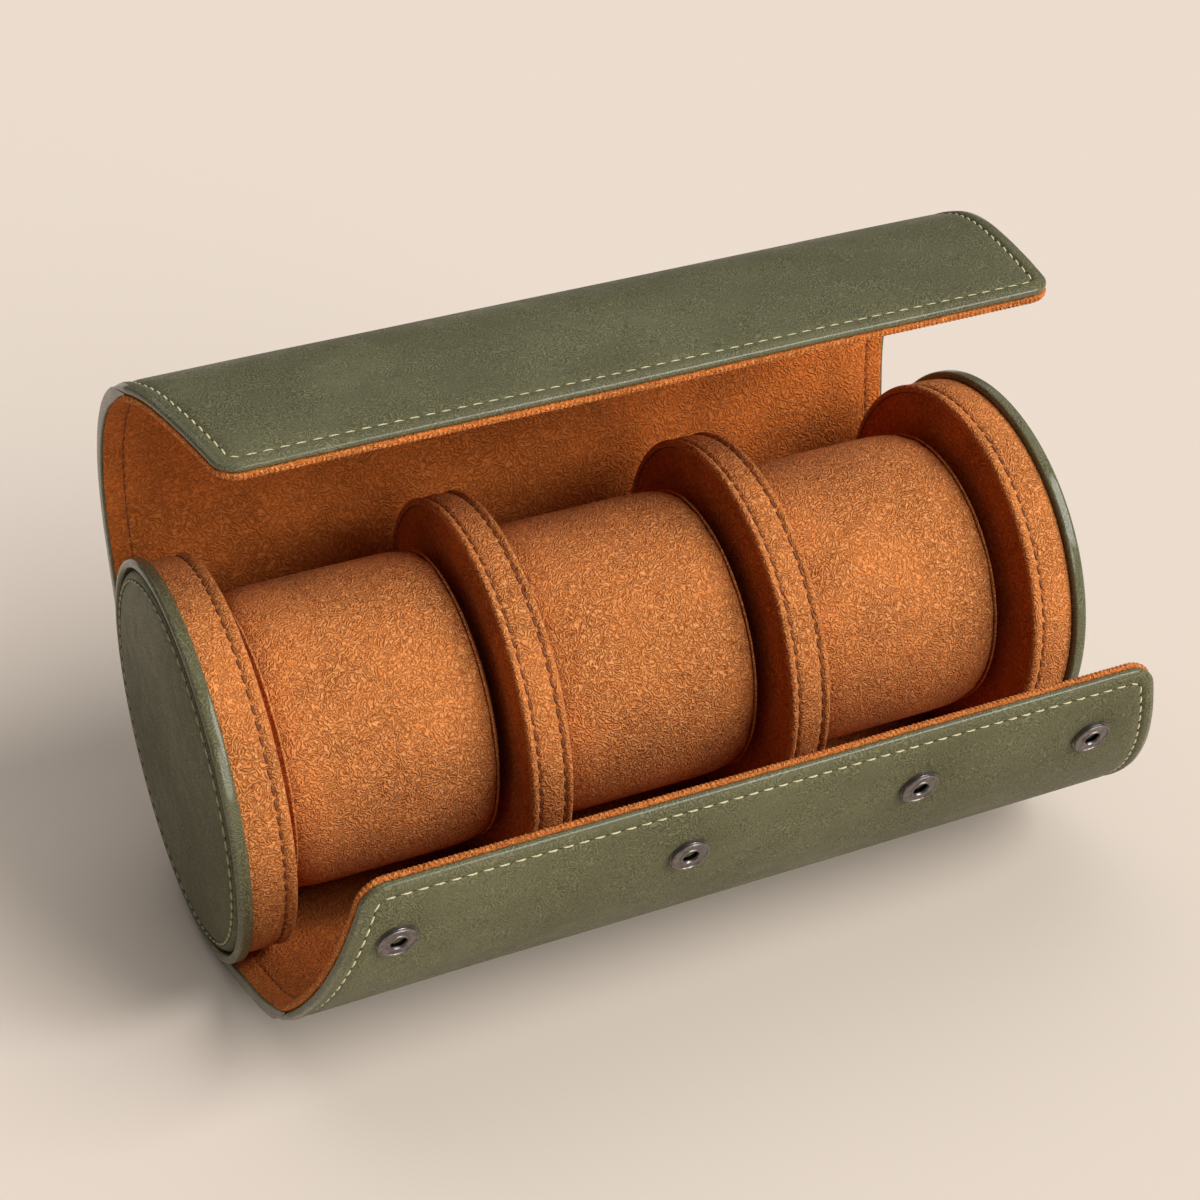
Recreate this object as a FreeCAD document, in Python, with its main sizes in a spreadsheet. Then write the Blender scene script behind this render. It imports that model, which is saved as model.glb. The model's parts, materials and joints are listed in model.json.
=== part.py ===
"""Watch roll: a leather wrap on a padded cradle, two end caps, two dividers and three watch pillows.

Frame: millimetres, X along the roll, -Y to the front (the snap flap), Z up. The origin is the middle
of the flat strip that the roll stands on. The roll is modelled open, as it lies on a table.
"""
import FreeCAD, Part
import math
import os

V = FreeCAD.Vector
X_AXIS = V(1, 0, 0)
DOC_NAME = "watch_roll"

SIZES = (
    # Whole roll
    ("roll_length", 206.0, "length of the wrap along X"),
    ("wrap_radius", 49.3, "cradle radius at the middle of the wall"),
    ("leather_thickness", 1.2, "outer leather"),
    ("board_thickness", 1.0, "stiffener board"),
    ("lining_thickness", 0.8, "suede lining"),
    ("padding_thickness", 1.6, "extra padding behind the cradle lining"),
    ("base_flat_depth", 0.8, "how far the wrap is pressed flat underneath"),
    ("hem_width", 3.0, "turned leather edge round the boards"),
    ("lining_inset", 0.6, "lining edge inside the leather edge"),
    ("crease_gap", 1.5, "gap between leather panels at a fold line"),
    ("board_gap", 0.8, "gap between boards at a fold line"),
    # Cradle and flaps, as lengths and turns of the wall's middle line
    ("cradle_angle", 108.0, "turn of the cradle from the back fold to the apron, degrees"),
    ("stub_length", 16.0, "straight stretch from the cradle to the front fold"),
    ("rise_height", 32.0, "straight back wall above the cradle"),
    ("cover_radius", 57.0, "cover bend radius"),
    ("top_angle", 74.4, "turn of the cover's top panel, degrees"),
    ("lead_angle", 15.6, "turn at the start of the cover's lip, degrees"),
    ("lip_length", 32.0, "flatter stretch up to the cover's free edge"),
    ("lip_angle", 9.0, "turn of that stretch, degrees"),
    ("apron_length", 14.0, "straight stretch of the apron panel"),
    ("front_radius", 70.7, "front flap bend radius"),
    ("apron_angle", 21.0, "turn of the apron panel, degrees"),
    ("front_angle", 43.0, "turn of the front flap panel, degrees"),
    ("lip_taper", 7.0, "inset of the cover's free corners along X"),
    ("front_taper", 12.0, "inset of the front flap's free corners along X"),
    ("corner_radius", 5.0, "rounding of the free corners"),
    # End caps and dividers
    ("disc_setback", 1.2, "disc axis in front of the cradle centre"),
    ("end_proud", 2.5, "cap face outside the wrap's end"),
    ("wall_thickness", "=leather_thickness + board_thickness + lining_thickness", "the wrap's three layers"),
    ("rim_clearance", 1.0, "end cap's rim to the inside of the wrap"),
    ("cap_radius", "=wrap_radius - wall_thickness / 2 - rim_clearance", "leather rim of an end cap"),
    ("cap_thickness", 14.0, "end cap along X"),
    ("rim_depth", 3.5, "leather rim along X"),
    ("rim_width", 2.6, "leather rim across"),
    ("rim_groove", 0.3, "groove between face panel and rim"),
    ("face_recess", 0.2, "face panel below the rim"),
    ("face_thickness", 1.5, "leather face panel"),
    ("band_step", 1.6, "suede band inside the end cap's rim"),
    ("band_radius", "=cap_radius - band_step", "suede band of caps and dividers"),
    ("suede_thickness", 1.4, "suede over foam on bands and faces"),
    ("divider_thickness", 10.0, "divider along X"),
    ("divider_recess", 0.4, "divider faces below the band's edges"),
    # Pillows
    ("strap_room", 9.4, "room for a strap between a pillow's crown and the bands' edge"),
    ("pillow_radius", "=band_radius - strap_room", "pillow crown"),
    ("pillow_drop", 0.9, "how much lower the pillow is at its shoulders"),
    ("pillow_clearance", 0.3, "pillow end to the disc beside it"),
    ("shoulder_length", 10.0, "rounded shoulder along X"),
    ("seam_depth", 4.5, "end seam behind the pillow's end"),
    ("seam_drop", 2.0, "end seam below the crown"),
    ("end_flat_radius", 16.0, "flat middle of a pillow end"),
    ("pillow_skin", 1.2, "suede sleeve and end discs"),
    # Press studs
    ("first_snap", "=-0.408 * roll_length", "press studs along X, spaced as in the photograph"),
    ("second_snap", "=-0.095 * roll_length", "second press stud"),
    ("third_snap", "=0.171 * roll_length", "third press stud"),
    ("fourth_snap", "=0.382 * roll_length", "fourth press stud"),
    ("socket_from_edge", 17.0, "sockets below the front flap's free edge"),
    ("stud_from_edge", 10.0, "studs behind the cover's free edge"),
    ("socket_radius", 4.4, "socket flange"),
    ("socket_height", 1.1, "socket flange above the leather"),
    ("socket_bore", 2.0, "socket hole radius"),
    ("eyelet_wall", 0.6, "wall of the socket's eyelet"),
    ("stud_radius", 4.2, "stud flange"),
    ("stud_flange", 0.4, "stud flange above the lining"),
    ("stud_height", 1.2, "stud above the lining"),
    ("stud_pin", 1.5, "stud pin radius"),
    ("rivet_radius", 1.0, "stud rivet through the lining and board"),
    ("back_radius", 4.0, "hidden backing discs"),
    ("back_thickness", 0.4, "hidden backing discs"),
    ("rivet_clearance", 0.1, "holes round eyelets and rivets"),
)

doc = FreeCAD.newDocument(DOC_NAME)
sheet = doc.addObject("Spreadsheet::Sheet", "Sizes")
for row, (alias, value, note) in enumerate(SIZES, 1):
    sheet.set(f"A{row}", note)
    sheet.set(f"B{row}", str(value))
    sheet.setAlias(f"B{row}", alias)
doc.recompute()


def size(alias):
    """A driving dimension from the sheet."""
    return float(sheet.get(alias))


HALF = size("roll_length") / 2
WALL = size("wall_thickness")
OUTSIDE = WALL / 2
LEATHER_BACK = OUTSIDE - size("leather_thickness")
BOARD_BACK = LEATHER_BACK - size("board_thickness")
INSIDE = -OUTSIDE
CENTRE_Z = size("wrap_radius") + OUTSIDE - size("base_flat_depth")
DISC_Y = -size("disc_setback")
REACH = 4 * size("wrap_radius")  # past every panel
TOUCH = 1e-6

sub_parts = []


def keep(feature, label):
    """Names a finished sub-part."""
    feature.Label = label
    sub_parts.append(feature)
    return feature


def solid_part(label, shape, base=V(0, 0, 0)):
    """A sub-part whose shape is worked out here from the sheet, at its place."""
    feature = doc.addObject("Part::Feature", label)
    feature.Shape = shape
    feature.Placement = FreeCAD.Placement(base, FreeCAD.Rotation())
    return keep(feature, label)


class Frame:
    """A place on the wall's middle line, in the YZ plane, with its heading and its outward side."""

    def __init__(self, y, z, heading, outward):
        self.y = y
        self.z = z
        self.heading = heading
        self.outward = outward

    def along(self):
        angle = math.radians(self.heading)
        return V(0, math.cos(angle), math.sin(angle))

    def out(self):
        angle = math.radians(self.heading + 90 * self.outward)
        return V(0, math.cos(angle), math.sin(angle))

    def point(self, offset=0.0):
        return V(0, self.y, self.z) + self.out() * offset

    def step(self, length, turn):
        """The frame after a run of the given length that bends inward by turn degrees."""
        if turn == 0:
            end = self.point() + self.along() * length
        else:
            radius = length / math.radians(turn)
            centre = self.point(-radius)
            end = centre + Frame(0, 0, self.heading - self.outward * turn, self.outward).out() * radius
        return Frame(end.y, end.z, self.heading - self.outward * turn, self.outward)


def bend(radius, turn):
    """A run along an arc, as its length and its turn."""
    return (radius * math.radians(turn), turn)


def trimmed(runs, start, end):
    """The runs with a length taken off the first and the last of them."""
    cut = [list(run) for run in runs]
    for index, amount in ((0, start), (-1, end)):
        length, turn = cut[index]
        cut[index] = [length - amount, turn * (length - amount) / length]
    return cut


def edge_of_run(frame, run, offset):
    """The edge of one run at a distance outward of the middle line."""
    length, turn = run
    after = frame.step(length, turn)
    if turn == 0:
        return Part.LineSegment(frame.point(offset), after.point(offset)).toShape()
    halfway = frame.step(length / 2, turn / 2)
    return Part.Arc(frame.point(offset), halfway.point(offset), after.point(offset)).toShape()


def strip(start, runs, outer, inner, gap_start, gap_end, half_length):
    """A layer of the wall between two offsets, with its ends cut back, across the roll."""
    first_length, first_turn = runs[0]
    begin = start.step(gap_start, first_turn * gap_start / first_length)
    outer_edges = []
    inner_edges = []
    frame = begin
    for run in trimmed(runs, gap_start, gap_end):
        outer_edges.append(edge_of_run(frame, run, outer))
        inner_edges.append(edge_of_run(frame, run, inner))
        frame = frame.step(*run)
    closing = [
        Part.LineSegment(begin.point(outer), begin.point(inner)).toShape(),
        Part.LineSegment(frame.point(outer), frame.point(inner)).toShape(),
    ]
    wire = Part.Wire(Part.__sortEdges__(outer_edges + inner_edges + closing))
    face = Part.Face(wire)
    face.translate(V(-half_length, 0, 0))
    return face.extrude(V(2 * half_length, 0, 0))


# The wall's middle line: back fold, cradle and front flap one way, the cover the other way
back_fold = Frame(size("wrap_radius"), CENTRE_Z, 90, -1)
cradle_start = Frame(size("wrap_radius"), CENTRE_Z, 270, 1)
cradle_runs = [bend(size("wrap_radius"), size("cradle_angle")), (size("stub_length"), 0)]
rise_runs = [(size("rise_height"), 0)]
top_runs = [bend(size("cover_radius"), size("top_angle"))]
lip_runs = [bend(size("cover_radius"), size("lead_angle")), (size("lip_length"), size("lip_angle"))]
apron_runs = [(size("apron_length"), 0), bend(size("front_radius"), size("apron_angle"))]
front_runs = [bend(size("front_radius"), size("front_angle"))]


def after(frame, runs):
    for run in runs:
        frame = frame.step(*run)
    return frame


top_fold = after(back_fold, rise_runs)
lip_fold = after(top_fold, top_runs)
lip_edge = after(lip_fold, lip_runs)
front_fold = after(cradle_start, cradle_runs)
flap_fold = after(front_fold, apron_runs)
flap_edge = after(flap_fold, front_runs)


def outline(inset, flap):
    """What bounds a panel along X: straight ends, or the tapered and rounded free end of a flap."""
    if flap is None:
        width = 2 * (HALF - inset)
        return Part.makeBox(width, 2 * REACH, 2 * REACH, V(-width / 2, -REACH, -REACH))
    fold, edge, taper = flap
    margin = size("wrap_radius")
    corners = (
        (-HALF, fold + math.copysign(margin, fold - edge)),
        (HALF, fold + math.copysign(margin, fold - edge)),
        (HALF, fold),
        (HALF - taper, edge),
        (-HALF + taper, edge),
        (-HALF, fold),
    )
    points = [V(x, along, 0) for x, along in corners]
    face = Part.Face(Part.makePolygon(points + points[:1]))
    prism = face.extrude(V(0, 0, 2 * REACH))
    free = [
        item for item in prism.Edges
        if abs(item.CenterOfMass.y - edge) < TOUCH and abs(item.CenterOfMass.z - REACH) < TOUCH
    ]
    prism = prism.makeFillet(size("corner_radius"), free)
    if inset:
        ends = [item for item in prism.Faces if abs(item.CenterOfMass.z) < TOUCH]
        prism = ends[0].makeOffset2D(-inset).extrude(V(0, 0, 2 * REACH))
    prism.translate(V(0, 0, -REACH))
    return prism


def front_view(prism):
    """Turns an outline drawn in plan so that it is seen from the front."""
    return prism.rotated(V(0, 0, 0), X_AXIS, 90)


# Free edges of the flaps: the cover's is drawn in plan, the front flap's as seen from the front
LIP = (lip_fold.y, min(lip_edge.point(side).y for side in (OUTSIDE, INSIDE)), size("lip_taper"))
FLAP = (flap_fold.z, max(flap_edge.point(side).z for side in (OUTSIDE, INSIDE)), size("front_taper"))


def bounds_of(panel, inset):
    if panel == "lip":
        return outline(inset, LIP)
    if panel == "front":
        return front_view(outline(inset, FLAP))
    return outline(inset, None)


def panel_layers(panel, start, runs, folds, padding=0.0):
    """Leather with its turned hem, the board inside it and the lining of one stiff panel."""
    crease = [size("crease_gap") / 2 if fold else 0.0 for fold in folds]
    board_cut = [size("board_gap") / 2 if fold else 0.0 for fold in folds]
    hem = [gap if fold else size("hem_width") for gap, fold in zip(board_cut, folds)]
    inner_bounds = bounds_of(panel, size("hem_width"))
    board = strip(start, runs, LEATHER_BACK, BOARD_BACK, *hem, REACH).common(inner_bounds)
    hollow = strip(start, runs, LEATHER_BACK, INSIDE, *hem, REACH).common(inner_bounds)
    leather = strip(start, runs, OUTSIDE, BOARD_BACK, *crease, REACH)
    leather = leather.common(bounds_of(panel, 0.0)).cut(hollow)
    lining_cut = [gap if fold else size("lining_inset") for gap, fold in zip(crease, folds)]
    lining = strip(start, runs, BOARD_BACK, INSIDE - padding, *lining_cut, REACH)
    inset = size("rim_depth") - size("end_proud") + size("rim_groove") if padding else size("lining_inset")
    lining = lining.common(bounds_of(panel, inset))
    return {"leather": leather, "board": board, "lining": lining}


panels = {
    "cradle": panel_layers("cradle", cradle_start, cradle_runs, (True, True), size("padding_thickness")),
    "rise": panel_layers("rise", back_fold, rise_runs, (True, True)),
    "top": panel_layers("top", top_fold, top_runs, (True, True)),
    "lip": panel_layers("lip", lip_fold, lip_runs, (True, False)),
    "apron": panel_layers("apron", front_fold, apron_runs, (True, True)),
    "front": panel_layers("front", flap_fold, front_runs, (True, False)),
}

# The flat strip underneath
below = Part.makeBox(4 * HALF, 2 * REACH, REACH, V(-2 * HALF, -REACH, -REACH))
panels["cradle"]["leather"] = panels["cradle"]["leather"].cut(below)


# Press studs: sockets on the front flap's leather, studs on the lip's lining
SNAPS = ("first_snap", "second_snap", "third_snap", "fourth_snap")


def before_edge(start, runs, distance):
    """The frame at a distance before the end of a list of runs."""
    return after(start, trimmed(runs, 0.0, distance))


def row_of(profile, place, side):
    """One turned part for each press stud, on the outward or inward side of the wall."""
    wire = Part.makePolygon([V(r, 0, height) for r, height in profile + profile[:1]])
    turned = Part.Face(wire).revolve(V(0, 0, 0), V(0, 0, 1), 360)
    turn = FreeCAD.Rotation(V(0, 0, 1), place.out() * side)
    solids = []
    for alias in SNAPS:
        item = turned.copy()
        item.Placement = FreeCAD.Placement(place.point() + V(size(alias), 0, 0), turn)
        solids.append(item)
    return Part.makeCompound(solids)


socket_place = before_edge(flap_fold, front_runs, size("socket_from_edge"))
stud_place = before_edge(lip_fold, lip_runs, size("stud_from_edge"))
bore = size("socket_bore")
eyelet = bore + size("eyelet_wall")
rounding = size("socket_height") / 2
socket_top = OUTSIDE + size("socket_height")
socket_profile = [
    (bore, INSIDE), (eyelet, INSIDE), (eyelet, OUTSIDE), (size("socket_radius"), OUTSIDE),
    (size("socket_radius"), socket_top - rounding), (size("socket_radius") - rounding, socket_top),
    (bore + rounding, socket_top), (bore, socket_top - rounding),
]
sockets = row_of(socket_profile, socket_place, 1)
socket_back_profile = [
    (0, -INSIDE), (size("back_radius"), -INSIDE),
    (size("back_radius"), -INSIDE + size("back_thickness")), (0, -INSIDE + size("back_thickness")),
]
socket_backs = row_of(socket_back_profile, socket_place, -1)
eyelet_hole = eyelet + size("rivet_clearance")
eyelet_holes = row_of([(0, -WALL), (eyelet_hole, -WALL), (eyelet_hole, WALL), (0, WALL)], socket_place, 1)
for layer in panels["front"]:
    panels["front"][layer] = panels["front"][layer].cut(eyelet_holes)
panels["front"]["lining"] = panels["front"]["lining"].cut(socket_backs)

rivet_end = -LEATHER_BACK + size("back_thickness")
stud_top = OUTSIDE + size("stud_height")
stud_profile = [
    (0, rivet_end), (size("rivet_radius"), rivet_end), (size("rivet_radius"), OUTSIDE),
    (size("stud_radius"), OUTSIDE), (size("stud_radius"), OUTSIDE + size("stud_flange")),
    (size("stud_pin"), OUTSIDE + size("stud_flange")), (size("stud_pin"), stud_top), (0, stud_top),
]
studs = row_of(stud_profile, stud_place, -1)
stud_back_profile = [
    (0, -LEATHER_BACK), (size("back_radius"), -LEATHER_BACK), (size("back_radius"), rivet_end), (0, rivet_end),
]
stud_backs = row_of(stud_back_profile, stud_place, -1)
rivet_hole = size("rivet_radius") + size("rivet_clearance")
rivet_holes = row_of([(0, rivet_end), (rivet_hole, rivet_end), (rivet_hole, WALL), (0, WALL)], stud_place, -1)
panels["lip"]["board"] = panels["lip"]["board"].cut(rivet_holes).cut(stud_backs)
panels["lip"]["lining"] = panels["lip"]["lining"].cut(rivet_holes).cut(studs)
panels["lip"]["leather"] = panels["lip"]["leather"].cut(stud_backs)

for panel, layers in panels.items():
    for layer, shape in layers.items():
        solid_part(f"{panel}_{layer}", shape)
solid_part("snap_sockets", sockets)
solid_part("snap_socket_backs", socket_backs)
solid_part("snap_studs", studs)
solid_part("snap_stud_backs", stud_backs)


# End caps and dividers: discs and rings on one axis along X
def disc(name, radius, outer, depth, side):
    """A disc whose outer flat lies a distance from mid-length, on the left (-1) or the right (1)."""
    body = doc.addObject("Part::Cylinder", name)
    body.Placement = FreeCAD.Placement(V(0, DISC_Y, CENTRE_Z), FreeCAD.Rotation(V(0, 1, 0), 90))
    body.setExpression("Radius", radius)
    body.setExpression("Height", depth)
    body.setExpression("Placement.Base.x", f"-({outer})" if side < 0 else f"({outer}) - ({depth})")
    return body


def ring(name, radius, width, outer, depth, side):
    """A disc of that kind with its middle taken out."""
    body = doc.addObject("Part::Cut", name)
    body.Base = disc(name + "_blank", radius, outer, depth, side)
    body.Tool = disc(name + "_bore", f"({radius}) - ({width})", outer, depth, side)
    return body


CAP_OUT = "Sizes.roll_length / 2 + Sizes.end_proud"
CAP_IN = f"{CAP_OUT} - Sizes.cap_thickness"
SLOT = f"(({CAP_IN}) * 2 - 2 * Sizes.divider_thickness) / 3"
CORE_RADIUS = "Sizes.band_radius - Sizes.suede_thickness"
FACE_RADIUS = "Sizes.cap_radius - Sizes.rim_width - Sizes.rim_groove"
for word, side in (("left", -1), ("right", 1)):
    face_out = f"{CAP_OUT} - Sizes.face_recess"
    core_out = f"{face_out} - Sizes.face_thickness"
    band_out = f"{CAP_OUT} - Sizes.rim_depth"
    inner_out = f"{CAP_IN} + Sizes.suede_thickness"
    core_depth = "Sizes.cap_thickness - Sizes.face_recess - Sizes.face_thickness - Sizes.suede_thickness"
    band_depth = "Sizes.cap_thickness - Sizes.rim_depth"
    keep(disc(f"{word}_cap_face", FACE_RADIUS, face_out, "Sizes.face_thickness", side), f"{word}_cap_face")
    keep(ring(f"{word}_cap_rim", "Sizes.cap_radius", "Sizes.rim_width", CAP_OUT, "Sizes.rim_depth", side),
         f"{word}_cap_rim")
    keep(disc(f"{word}_cap_core", CORE_RADIUS, core_out, core_depth, side), f"{word}_cap_core")
    keep(ring(f"{word}_cap_band", "Sizes.band_radius", "Sizes.suede_thickness", band_out, band_depth, side),
         f"{word}_cap_band")
    keep(disc(f"{word}_cap_lining", CORE_RADIUS, inner_out, "Sizes.suede_thickness", side),
         f"{word}_cap_lining")

    divider_out = f"({SLOT}) / 2 + Sizes.divider_thickness"
    core_depth = "Sizes.divider_thickness - 2 * (Sizes.divider_recess + Sizes.suede_thickness)"
    far_out = f"{divider_out} - Sizes.divider_recess"
    near_out = f"({SLOT}) / 2 + Sizes.divider_recess + Sizes.suede_thickness"
    keep(ring(f"{word}_divider_band", "Sizes.band_radius", "Sizes.suede_thickness", divider_out,
              "Sizes.divider_thickness", side), f"{word}_divider_band")
    keep(disc(f"{word}_divider_core", CORE_RADIUS, f"{far_out} - Sizes.suede_thickness", core_depth, side),
         f"{word}_divider_core")
    keep(disc(f"{word}_divider_outer_face", CORE_RADIUS, far_out, "Sizes.suede_thickness", side),
         f"{word}_divider_outer_face")
    keep(disc(f"{word}_divider_inner_face", CORE_RADIUS, near_out, "Sizes.suede_thickness", side),
         f"{word}_divider_inner_face")
doc.recompute()

# Pillows: a crowned sleeve, a domed disc at each end and a foam core, turned about the disc axis
cap_in = HALF + size("end_proud") - size("cap_thickness")
slot_width = (2 * cap_in - 2 * size("divider_thickness")) / 3
slot_pitch = slot_width + size("divider_thickness")
pillow_half = slot_width / 2 - size("pillow_clearance")
SHOULDER_FALL = 1 / 3  # share of the seam's drop that a shoulder has at its middle
DOME_RISE = 0.7  # how far along X, and how far out from the flat, the middle of a domed end lies
DOME_REACH = 0.6


def arc_through(start, middle, end):
    return Part.Arc(start, middle, end).toShape()


def line(start, end):
    return Part.LineSegment(start, end).toShape()


def pillow_curves(skin):
    """Crown, shoulder and dome of a pillow's right half, drawn in by the thickness of its skin."""
    crown = size("pillow_radius") - skin
    shoulder = crown - size("pillow_drop")
    seam = crown - size("seam_drop") - size("pillow_drop")
    shoulder_x = pillow_half - size("shoulder_length")
    seam_x = pillow_half - size("seam_depth") - skin / 2
    end_x = pillow_half - skin
    flat = size("end_flat_radius")
    return {
        "crown": V(0, 0, crown),
        "shoulder": V(shoulder_x, 0, shoulder),
        "shoulder_mid": V((shoulder_x + seam_x) / 2, 0, shoulder - size("seam_drop") * SHOULDER_FALL),
        "seam": V(seam_x, 0, seam),
        "dome_mid": V(seam_x + (end_x - seam_x) * DOME_RISE, 0, flat + (seam - flat) * DOME_REACH),
        "flat": V(end_x, 0, flat),
        "end": V(end_x, 0, 0),
    }


def turned(edges):
    """A solid of revolution about the pillow's own axis."""
    face = Part.Face(Part.Wire(Part.__sortEdges__(edges)))
    return face.revolve(V(0, 0, 0), X_AXIS, 360)


def flip(point):
    """The same point on a pillow's left half."""
    return V(-point.x, 0, point.z)


def crown_edges(points):
    """Crown and shoulders from the left seam to the right seam."""
    return [
        arc_through(flip(points["seam"]), flip(points["shoulder_mid"]), flip(points["shoulder"])),
        arc_through(flip(points["shoulder"]), points["crown"], points["shoulder"]),
        arc_through(points["shoulder"], points["shoulder_mid"], points["seam"]),
    ]


outer_curve = pillow_curves(0.0)
inner_curve = pillow_curves(size("pillow_skin"))
for word, x in (("left", -slot_pitch), ("middle", 0.0), ("right", slot_pitch)):
    place = V(x, DISC_Y, CENTRE_Z)
    outer_edges = crown_edges(outer_curve)
    inner_edges = crown_edges(inner_curve)
    joins = [
        line(outer_curve["seam"], inner_curve["seam"]),
        line(flip(outer_curve["seam"]), flip(inner_curve["seam"])),
    ]
    solid_part(f"{word}_pillow_sleeve", turned(outer_edges + inner_edges + joins), place)

    dome = [
        arc_through(outer_curve["seam"], outer_curve["dome_mid"], outer_curve["flat"]),
        line(outer_curve["flat"], outer_curve["end"]),
        line(outer_curve["end"], inner_curve["end"]),
        line(inner_curve["end"], inner_curve["flat"]),
        arc_through(inner_curve["flat"], inner_curve["dome_mid"], inner_curve["seam"]),
        line(inner_curve["seam"], outer_curve["seam"]),
    ]
    solid_part(f"{word}_pillow_end_right", turned(dome), place)
    solid_part(f"{word}_pillow_end_left", turned(dome).mirror(V(0, 0, 0), X_AXIS), place)

    core = list(inner_edges)
    for side in (lambda point: point, flip):
        core.append(arc_through(side(inner_curve["seam"]), side(inner_curve["dome_mid"]),
                                side(inner_curve["flat"])))
        core.append(line(side(inner_curve["flat"]), side(inner_curve["end"])))
    core.append(line(inner_curve["end"], flip(inner_curve["end"])))
    solid_part(f"{word}_pillow_core", turned(core), place)

doc.recompute()
for item in doc.Objects:
    if "Invalid" in item.State or "Error" in item.State:
        raise RuntimeError(f"{item.Label} did not recompute: {item.State}")
os.makedirs("parts", exist_ok=True)
for item in sub_parts:
    if item.Shape.isNull() or not item.Shape.isValid() or not item.Shape.Solids:
        raise RuntimeError(f"{item.Label} has no valid solid")
    item.Shape.exportStep(f"parts/{item.Label}.step")

folds = {"back": back_fold, "top": top_fold, "lip": lip_fold, "front": front_fold, "flap": flap_fold}
for word, fold in folds.items():
    print(f"{word} fold at y {fold.y:.3f} z {fold.z:.3f}")
print(f"lip edge y {lip_edge.y:.2f} z {lip_edge.z:.2f}; front edge y {flap_edge.y:.2f} z {flap_edge.z:.2f}")
print(f"disc axis y {DISC_Y:.2f} z {CENTRE_Z:.2f}; slot {slot_width:.2f}; {len(sub_parts)} sub-parts")
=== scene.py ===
"""Watch roll: the leather wrap, its suede lining, end caps, dividers, pillows and press studs."""
import json
import math

import bmesh
import bpy
from bpy.props import FloatProperty, FloatVectorProperty, PointerProperty
from bpy.types import Operator, Panel, PropertyGroup
from mathutils import Matrix, Vector, noise


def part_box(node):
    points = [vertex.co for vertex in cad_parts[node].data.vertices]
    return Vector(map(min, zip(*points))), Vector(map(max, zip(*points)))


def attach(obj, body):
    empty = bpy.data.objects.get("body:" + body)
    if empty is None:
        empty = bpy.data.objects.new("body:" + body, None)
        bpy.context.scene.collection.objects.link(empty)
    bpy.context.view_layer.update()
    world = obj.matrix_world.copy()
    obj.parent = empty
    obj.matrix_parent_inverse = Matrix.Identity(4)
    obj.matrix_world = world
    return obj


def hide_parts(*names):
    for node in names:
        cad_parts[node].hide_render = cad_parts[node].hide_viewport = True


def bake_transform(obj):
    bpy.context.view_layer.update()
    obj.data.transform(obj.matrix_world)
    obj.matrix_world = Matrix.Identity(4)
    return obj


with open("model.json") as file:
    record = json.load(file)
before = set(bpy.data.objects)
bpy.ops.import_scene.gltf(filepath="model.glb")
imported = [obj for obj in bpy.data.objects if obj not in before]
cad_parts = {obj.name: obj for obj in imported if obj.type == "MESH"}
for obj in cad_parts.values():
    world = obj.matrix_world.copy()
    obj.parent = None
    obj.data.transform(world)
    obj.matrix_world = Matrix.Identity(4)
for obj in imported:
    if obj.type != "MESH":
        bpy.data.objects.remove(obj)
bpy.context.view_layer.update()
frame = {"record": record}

bl_info = {
    "name": "Watch Roll",
    "version": (1, 0, 0),
    "blender": (4, 5, 0),
    "location": "View3D > Sidebar > Watch Roll",
    "description": "Leather watch roll with a suede lining, dividers and lift-out pillows",
    "category": "Object",
}

MM = 0.001
FOLDS = {joint["name"]: joint.get("pos_m") for joint in frame["record"]["behaviour"]["joints"]}
HALF_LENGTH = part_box("cradle_leather")[1][0]
CAP_LOW, CAP_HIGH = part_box("left_cap_rim")
AXIS_Y = (CAP_LOW[1] + CAP_HIGH[1]) / 2
AXIS_Z = (CAP_LOW[2] + CAP_HIGH[2]) / 2
AXIS = Vector((0, AXIS_Y, AXIS_Z))
SIDES = (("left", -1), ("right", 1))


def arc(radius, degrees):
    """A bend of the wall, as its length and its turn."""
    return (radius * math.radians(degrees), math.radians(degrees))


# The wall's middle line, from the back fold over the cover and from the back fold under the roll
RISE = 32 * MM
COVER_RADIUS = 57 * MM
CRADLE_RADIUS = 49.3 * MM
APRON = 30 * MM
FLAP_RADIUS = 70.7 * MM
COVER_RUNS = ((RISE, 0.0), arc(COVER_RADIUS, 90.0), (32 * MM, math.radians(9)))
FRONT_RUNS = (arc(CRADLE_RADIUS, 108.0), (APRON, 0.0), arc(FLAP_RADIUS, 64.0))
LIP_EDGE = sum(length for length, turn in COVER_RUNS)
FRONT_EDGE = -sum(length for length, turn in FRONT_RUNS)
TOP_FOLD = RISE
LIP_FOLD = TOP_FOLD + COVER_RADIUS * math.radians(74.4)
FRONT_FOLD = -(FRONT_RUNS[0][0] + 16 * MM)
FLAP_FOLD = -(FRONT_RUNS[0][0] + APRON + FLAP_RADIUS * math.radians(21))

# The wrap's skins are split between the folds. Each stretch lies about one fold: the bodies before and after it, the
# fold, and where the stretch begins and ends
BEYOND = 1.0
LIP_SPLIT = 69 * MM
TOP_SPLIT = 16 * MM
UNDERSIDE = -CRADLE_RADIUS * math.radians(90)
FLAP_SPLIT = -123 * MM
STRETCHES = (
    ("lip", "cover_top", "cover_lip", LIP_FOLD, LIP_SPLIT, BEYOND),
    ("top", "cover_rise", "cover_top", TOP_FOLD, TOP_SPLIT, LIP_SPLIT),
    ("back", "case", "cover_rise", 0.0, UNDERSIDE, TOP_SPLIT),
    ("apron", "case", "front_apron", FRONT_FOLD, FLAP_SPLIT, UNDERSIDE),
    ("front", "front_apron", "front_flap", FLAP_FOLD, -BEYOND, FLAP_SPLIT),
)
PANELS = {
    "lip": ("lip",), "top": ("top",), "back": ("rise", "cradle"), "apron": ("apron", "cradle"), "front": ("front",),
}
BEND_REACH = 14 * MM
STITCH_SLANT = 0.12
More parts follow.
